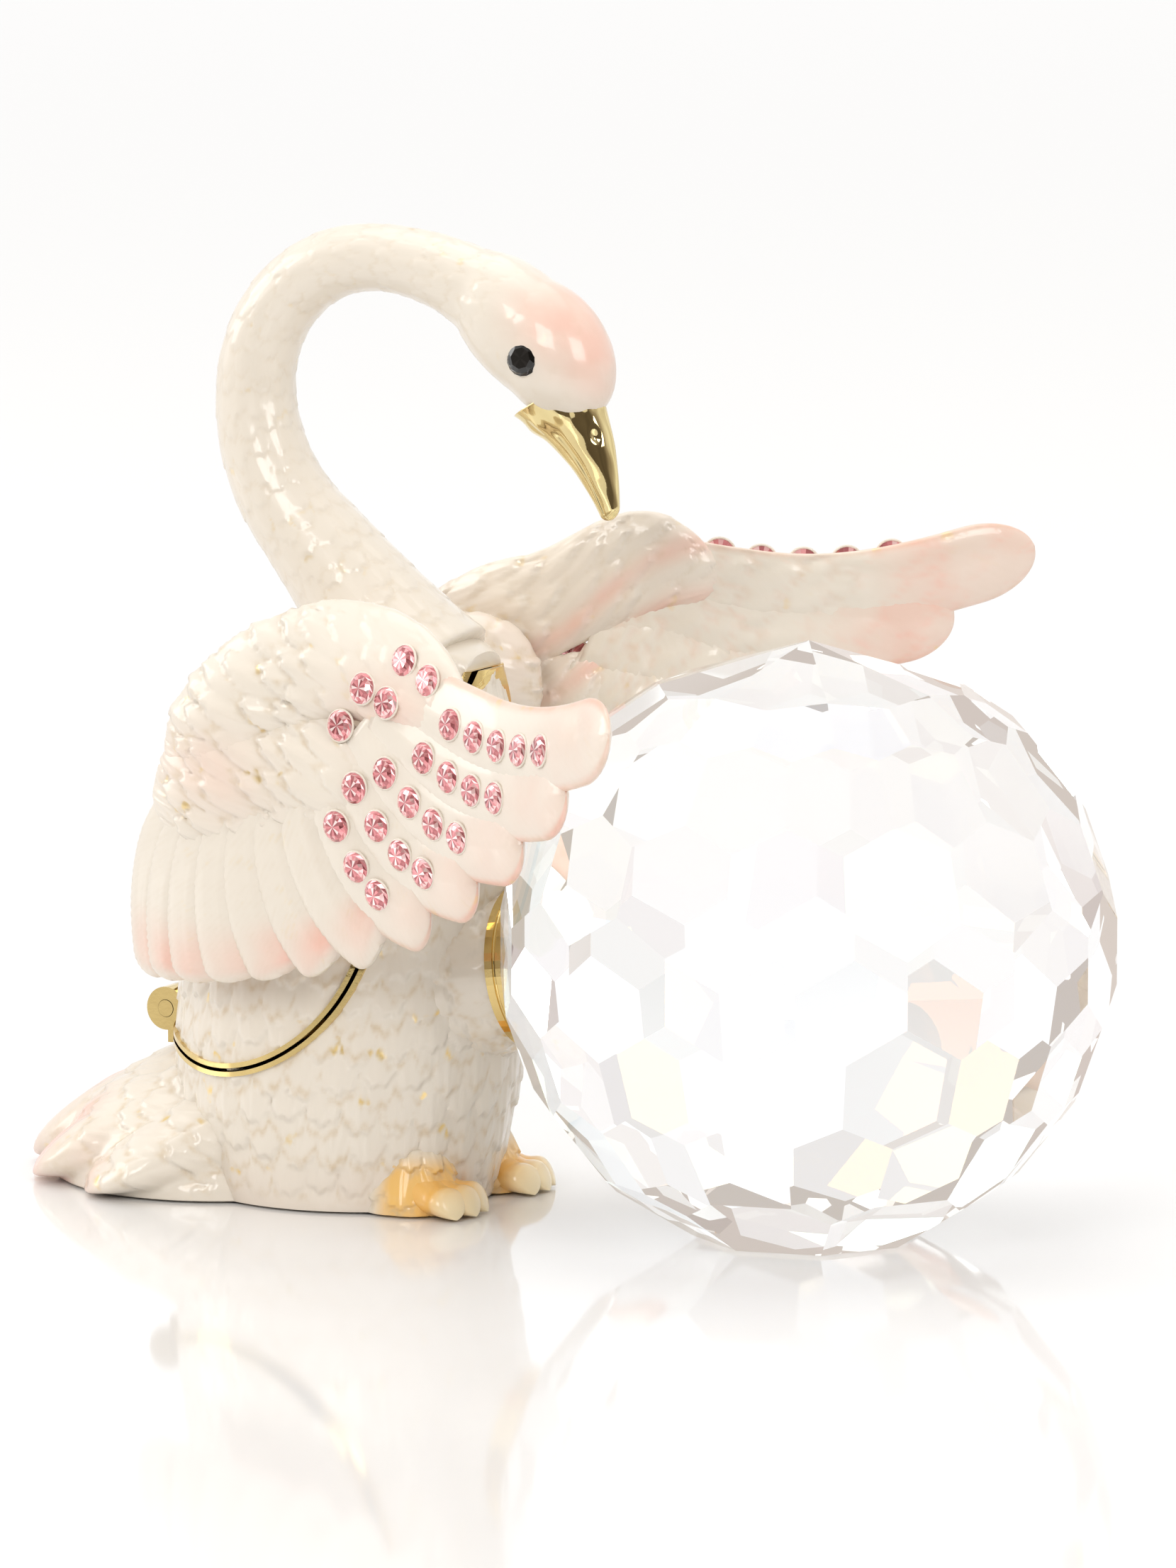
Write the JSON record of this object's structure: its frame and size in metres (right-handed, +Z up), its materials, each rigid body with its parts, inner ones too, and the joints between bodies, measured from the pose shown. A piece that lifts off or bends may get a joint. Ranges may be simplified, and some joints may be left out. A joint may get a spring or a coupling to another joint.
{
  "type": "swan trinket box with crystal ball",
  "caption": "Enamelled metal trinket box shaped as a swan with a hinged lid and stone-set wings, holding a faceted crystal ball against its breast.",
  "frame": {"origin": "centre of the box's standing face, level with the surface it stands on", "axes": "+X the way the swan faces, from the box to the ball; +Y the swan's left; +Z up"},
  "size_m": [0.0967, 0.0756, 0.0797],
  "materials": {
    "enamel": "pearl enamel over gold plated casting, gloss, pale pink shading",
    "feet_enamel": "translucent amber enamel, gloss",
    "gold": "polished gold plate",
    "crystal": "clear lead crystal, polished facets",
    "magnet": "nickel plated magnet",
    "black_stone": "black faceted stone",
    "pink_stone": "pink foiled crystal, cut facets"
  },
  "bodies": {
    "base": {"base_shell": "enamel", "right_foot": "feet_enamel", "left_foot": "feet_enamel", "base_rim": "gold", "hinge_base_leaf": "gold", "hinge_pin": "gold", "ball_cup": "gold", "crystal_ball": "crystal", "base_magnet": "magnet"},
    "lid": {"lid_shell": "enamel", "lid_rim": "gold", "hinge_lid_leaf": "gold", "lid_magnet": "magnet", "neck_and_head": "enamel", "beak": "gold", "right_eye": "black_stone", "left_eye": "black_stone", "right_wing": "enamel", "left_wing": "enamel", "right_covert_stones": "pink_stone", "right_feather_1_stones": "pink_stone", "right_feather_2_stones": "pink_stone", "right_feather_3_stones": "pink_stone", "right_feather_4_stones": "pink_stone", "right_feather_5_stones": "pink_stone", "left_covert_stones": "pink_stone", "left_feather_1_stones": "pink_stone", "left_feather_2_stones": "pink_stone", "left_feather_3_stones": "pink_stone", "left_feather_4_stones": "pink_stone", "left_feather_5_stones": "pink_stone"}
  },
  "joints": [
    {"name": "lid_hinge", "type": "hinge", "parent": "base", "child": "lid", "pos_m": [-0.0198, 0, 0.0141], "axis": [0, -1, 0], "range_deg": [0, 70]}
  ]
}
